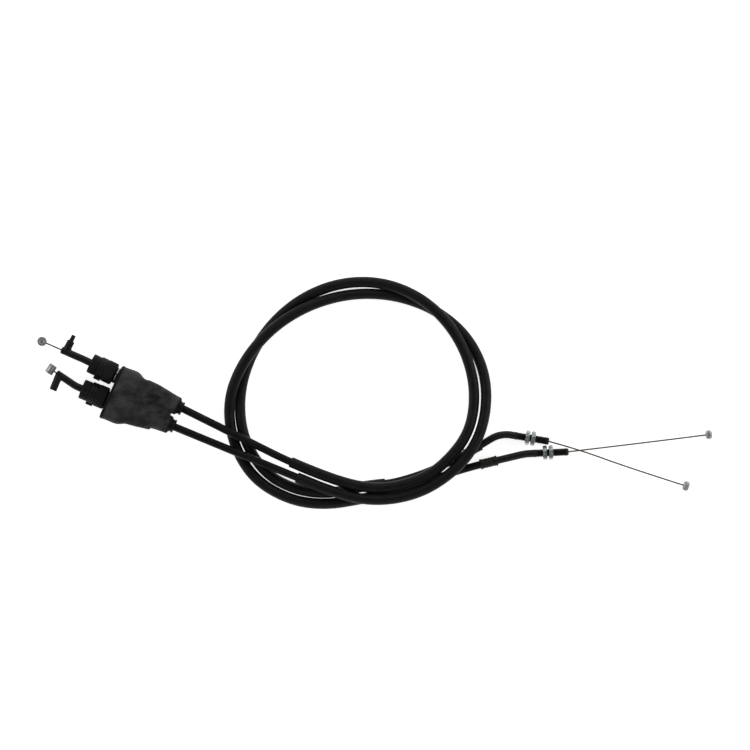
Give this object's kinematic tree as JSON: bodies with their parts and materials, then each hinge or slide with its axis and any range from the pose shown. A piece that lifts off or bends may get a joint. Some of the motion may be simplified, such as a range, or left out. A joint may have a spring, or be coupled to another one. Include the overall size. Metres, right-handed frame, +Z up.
{
  "type": "throttle cable pair",
  "caption": "Looped push-pull pair of motorcycle throttle cables with a shared rubber boot, adjusters, bent guide tubes, lock nuts and nipples.",
  "frame": {"origin": "centre of the fittings' bounding box at the surface the pair lies on", "axes": "+X from the grip end to the carburettor end, +Y across the loop, +Z up"},
  "size_m": [0.5065, 0.1745, 0.025],
  "materials": {
    "jacket": "satin extruded jacket",
    "sleeve": "satin protective sleeve",
    "boot_rubber": "matt, slightly dusty",
    "black_plastic": "moulded",
    "black_metal": "black zinc plating",
    "plated_steel": "bright zinc plating",
    "zinc": "die-cast zinc alloy",
    "steel_wire": "stranded, lightly oiled",
    "steel_conduit": "flat-wire coil",
    "liner": "smooth low-friction tube"
  },
  "bodies": {
    "cables": {"pull_housing": "jacket", "pull_conduit": "steel_conduit", "pull_liner": "liner", "pull_inner_wire": "steel_wire", "pull_sleeve": "sleeve", "pull_housing_cap": "plated_steel", "pull_ferrule": "black_metal", "pull_carb_guide": "black_metal", "pull_end_seal": "boot_rubber", "pull_carb_wire": "steel_wire", "return_housing": "jacket", "return_conduit": "steel_conduit", "return_liner": "liner", "return_inner_wire": "steel_wire", "return_sleeve": "sleeve", "return_housing_cap": "plated_steel", "return_ferrule": "black_metal", "return_carb_guide": "black_metal", "return_end_seal": "boot_rubber", "return_carb_wire": "steel_wire"},
    "pull_adjuster": {"pull_adjuster_barrel": "black_plastic"},
    "pull_guide": {"pull_grip_guide": "black_metal", "pull_locating_peg": "black_plastic"},
    "pull_lock_nut": {"pull_lock_nut": "black_plastic"},
    "pull_lock_ring": {"pull_lock_ring": "black_plastic"},
    "pull_grip_end": {"pull_grip_nipple": "zinc", "pull_grip_wire": "steel_wire"},
    "pull_carb_end": {"pull_carb_nipple": "zinc"},
    "pull_inner_nut": {"pull_inner_locknut": "plated_steel"},
    "pull_outer_nut": {"pull_outer_locknut": "plated_steel"},
    "return_adjuster": {"return_adjuster_barrel": "black_plastic"},
    "return_guide": {"return_grip_guide": "black_metal", "return_locating_peg": "black_plastic"},
    "return_lock_nut": {"return_lock_nut": "black_plastic"},
    "return_lock_ring": {"return_lock_ring": "black_plastic"},
    "return_grip_end": {"return_grip_nipple": "zinc", "return_grip_wire": "steel_wire"},
    "return_carb_end": {"return_carb_nipple": "zinc"},
    "return_inner_nut": {"return_inner_locknut": "plated_steel"},
    "return_outer_nut": {"return_outer_locknut": "plated_steel"},
    "boot": {"boot": "boot_rubber", "boot_ring_pull": "black_plastic", "boot_ring_return": "black_plastic"}
  },
  "joints": [
    {"name": "pull_adjuster_turn", "type": "hinge", "parent": "cables", "child": "pull_adjuster", "pos_m": [-0.21369, 0.03759, 0.0122], "axis": [0.8952, -0.4456, 0], "range_deg": [0, 1440]},
    {"name": "pull_guide_travel", "type": "slide", "parent": "cables", "child": "pull_guide", "axis": [-0.8952, 0.4456, 0], "range_m": [0, 0.005]},
    {"name": "pull_lock_nut_turn", "type": "hinge", "parent": "cables", "child": "pull_lock_nut", "pos_m": [-0.21369, 0.03759, 0.0122], "axis": [0.8952, -0.4456, 0], "continuous": true},
    {"name": "pull_lock_ring_turn", "type": "hinge", "parent": "cables", "child": "pull_lock_ring", "pos_m": [-0.21369, 0.03759, 0.0122], "axis": [0.8952, -0.4456, 0], "continuous": true},
    {"name": "pull_grip_nipple_travel", "type": "slide", "parent": "pull_guide", "child": "pull_grip_end", "axis": [-0.9173, 0.3981, 0], "range_m": [0, 0.025]},
    {"name": "pull_carb_nipple_travel", "type": "slide", "parent": "cables", "child": "pull_carb_end", "axis": [-0.9528, 0.3034, -0.0112], "range_m": [0, 0.025]},
    {"name": "pull_inner_nut_turn", "type": "hinge", "parent": "cables", "child": "pull_inner_nut", "pos_m": [0.12827, -0.02107, 0.0058], "axis": [0.986, -0.1668, 0], "continuous": true},
    {"name": "pull_outer_nut_turn", "type": "hinge", "parent": "cables", "child": "pull_outer_nut", "pos_m": [0.12827, -0.02107, 0.0058], "axis": [0.986, -0.1668, 0], "continuous": true},
    {"name": "return_adjuster_turn", "type": "hinge", "parent": "cables", "child": "return_adjuster", "pos_m": [-0.22029, 0.01825, 0.0122], "axis": [0.9244, -0.3814, 0], "range_deg": [0, 1440]},
    {"name": "return_guide_travel", "type": "slide", "parent": "cables", "child": "return_guide", "axis": [-0.9244, 0.3814, 0], "range_m": [0, 0.005]},
    {"name": "return_lock_nut_turn", "type": "hinge", "parent": "cables", "child": "return_lock_nut", "pos_m": [-0.22029, 0.01825, 0.0122], "axis": [0.9244, -0.3814, 0], "continuous": true},
    {"name": "return_lock_ring_turn", "type": "hinge", "parent": "cables", "child": "return_lock_ring", "pos_m": [-0.22029, 0.01825, 0.0122], "axis": [0.9244, -0.3814, 0], "continuous": true},
    {"name": "return_grip_nipple_travel", "type": "slide", "parent": "return_guide", "child": "return_grip_end", "axis": [-0.8259, 0.5638, 0], "range_m": [0, 0.025]},
    {"name": "return_carb_nipple_travel", "type": "slide", "parent": "cables", "child": "return_carb_end", "axis": [-0.9908, -0.1243, 0.0527], "range_m": [0, 0.025]},
    {"name": "return_inner_nut_turn", "type": "hinge", "parent": "cables", "child": "return_inner_nut", "pos_m": [0.14297, -0.02925, 0.0058], "axis": [0.999, 0.0454, 0], "continuous": true},
    {"name": "return_outer_nut_turn", "type": "hinge", "parent": "cables", "child": "return_outer_nut", "pos_m": [0.14297, -0.02925, 0.0058], "axis": [0.999, 0.0454, 0], "continuous": true},
    {"name": "boot_slide", "type": "slide", "parent": "cables", "child": "boot", "axis": [0.9104, -0.4138, 0], "range_m": [0, 0.02]}
  ],
  "couplings": [
    {"joint": "pull_adjuster_turn", "follows": "pull_guide_travel", "rad_per_m": 5026.5},
    {"joint": "pull_carb_nipple_travel", "follows": "pull_grip_nipple_travel", "ratio": 1},
    {"joint": "return_adjuster_turn", "follows": "return_guide_travel", "rad_per_m": 5026.5},
    {"joint": "return_carb_nipple_travel", "follows": "return_grip_nipple_travel", "ratio": 1}
  ]
}
